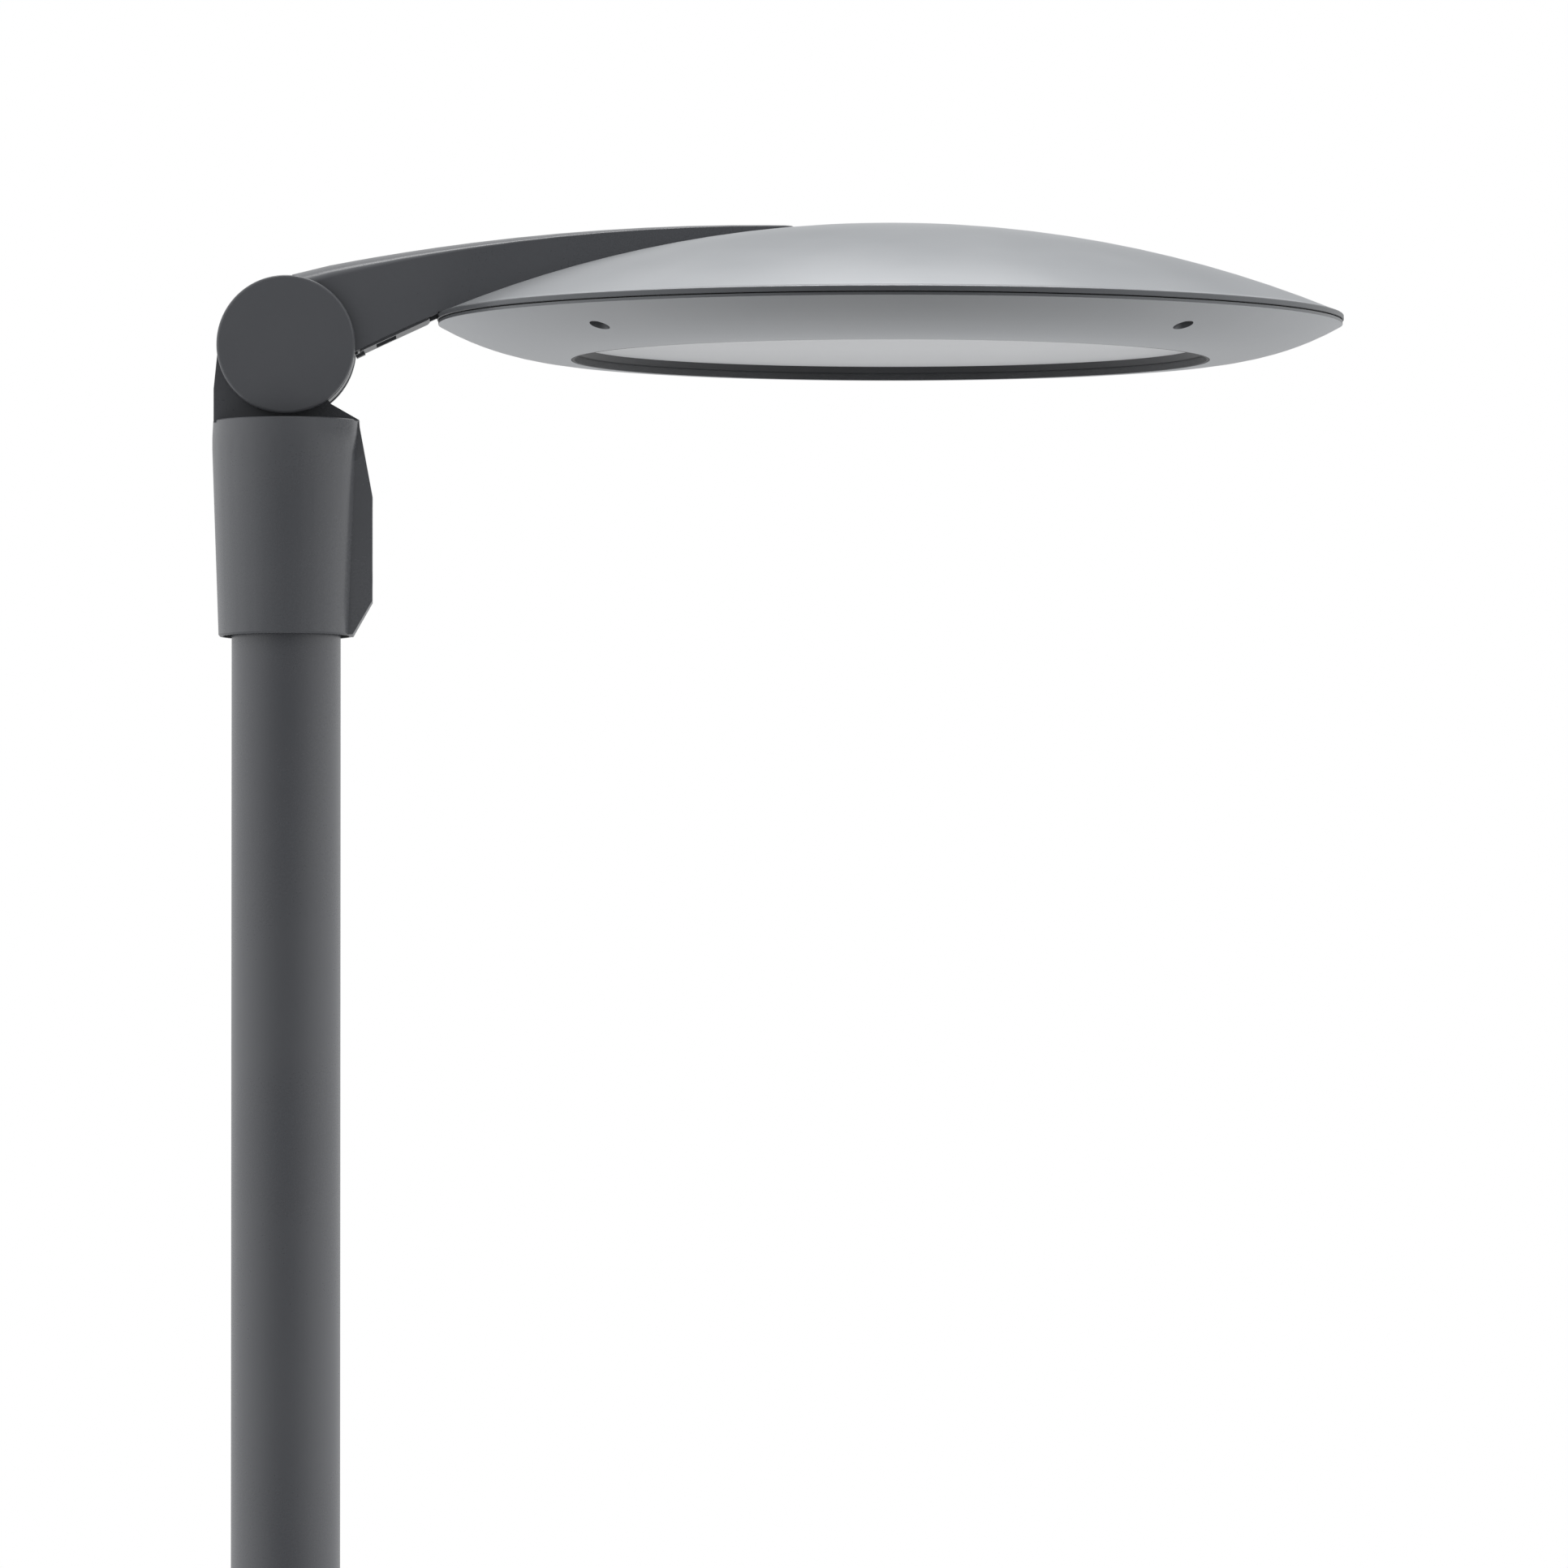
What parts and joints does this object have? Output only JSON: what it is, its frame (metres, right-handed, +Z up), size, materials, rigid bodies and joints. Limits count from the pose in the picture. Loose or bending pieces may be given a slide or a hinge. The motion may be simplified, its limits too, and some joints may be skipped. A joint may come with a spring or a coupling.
{
  "type": "street lamp post",
  "caption": "Street lamp post: slim stepped pole on an anchor plate, tilting spigot joint, curved tapering arm and a shallow domed round lamp head.",
  "frame": {"origin": "the pole's axis at the underside of the base plate", "axes": "+Z up the pole; +X along the arm from the pole to the lamp head; -Y is the side with the pole's access door"},
  "size_m": [0.897, 0.632, 4.067],
  "materials": {
    "post_paint": "powder coat, anthracite, fine satin",
    "joint_paint": "powder coat on casting, anthracite, satin",
    "cover_paint": "powder coat, anthracite, satin",
    "silver_paint": "silver-grey powder coat, satin",
    "frame_silver": "silver-grey powder coat, satin",
    "ring_grey": "dark grey paint, satin",
    "stainless": "brushed",
    "black_steel": "blackened steel, matt",
    "galvanised": "zinc coated, dull",
    "plain_aluminium": "mill finish",
    "brass_stud": "plain brass",
    "grey_plastic": "moulded, matt",
    "black_plastic": "moulded, matt",
    "friction_lining": "pressed lining, matt",
    "white_case": "moulded, matt",
    "board_white": "solder mask, white",
    "led_phosphor": "phosphor",
    "clear_lens": "clear moulded",
    "reflector_white": "white reflector",
    "seal_rubber": "moulded seal",
    "opal_glass": "etched on the inside"
  },
  "bodies": {
    "post": {"base_plate": "post_paint", "base_gussets": "post_paint", "lower_tube": "post_paint", "shoulder_collar": "post_paint", "centring_ring": "galvanised", "upper_tube": "post_paint", "door_frame": "post_paint", "fuse_board": "galvanised", "fuse_box": "grey_plastic", "earth_stud": "brass_stud"},
    "door": {"access_door": "post_paint"},
    "lock": {"door_lock": "stainless"},
    "sleeve": {"spigot_sleeve": "joint_paint", "spigot_liner": "black_plastic", "clamp_screws": "stainless", "friction_discs": "friction_lining"},
    "lamp": {"arm_casting": "joint_paint", "arm_gasket": "seal_rubber", "pivot_bolt": "stainless", "pivot_nut": "stainless", "joint_cap_front": "joint_paint", "joint_cap_rear": "joint_paint", "cap_seals": "seal_rubber", "cover_pins": "stainless", "top_cover": "silver_paint", "arm_bolts": "stainless", "cable_gland": "black_plastic", "tray_screws": "stainless", "gear_tray": "plain_aluminium", "led_driver": "white_case", "surge_protector": "black_plastic", "terminal_block": "grey_plastic", "led_board": "board_white", "led_chips": "led_phosphor", "lens_array": "clear_lens", "reflector_ring": "reflector_white", "lower_frame": "frame_silver", "frame_seal": "seal_rubber", "frame_screws": "black_steel", "glass_ring": "ring_grey", "glass": "opal_glass", "glass_seal": "seal_rubber", "glass_clips": "stainless"},
    "cover": {"arm_cover": "cover_paint"}
  },
  "joints": [
    {"name": "sleeve_turn", "type": "hinge", "parent": "post", "child": "sleeve", "pos_m": [0, 0, 3.82], "axis": [0, 0, 1], "range_deg": [-180, 180]},
    {"name": "arm_tilt", "type": "hinge", "parent": "sleeve", "child": "lamp", "pos_m": [0, 0, 3.982], "axis": [0, -1, 0], "range_deg": [-10, 90]},
    {"name": "cover_swing", "type": "hinge", "parent": "lamp", "child": "cover", "pos_m": [0.09735, 0, 4.0015], "axis": [0, -1, 0], "range_deg": [0, 70]},
    {"name": "door_out", "type": "slide", "parent": "post", "child": "door", "axis": [0, -1, 0], "range_m": [0, 0.12]},
    {"name": "lock_turn", "type": "hinge", "parent": "door", "child": "lock", "pos_m": [0, -0.057, 0.88], "axis": [0, -1, 0], "range_deg": [0, 90]}
  ]
}
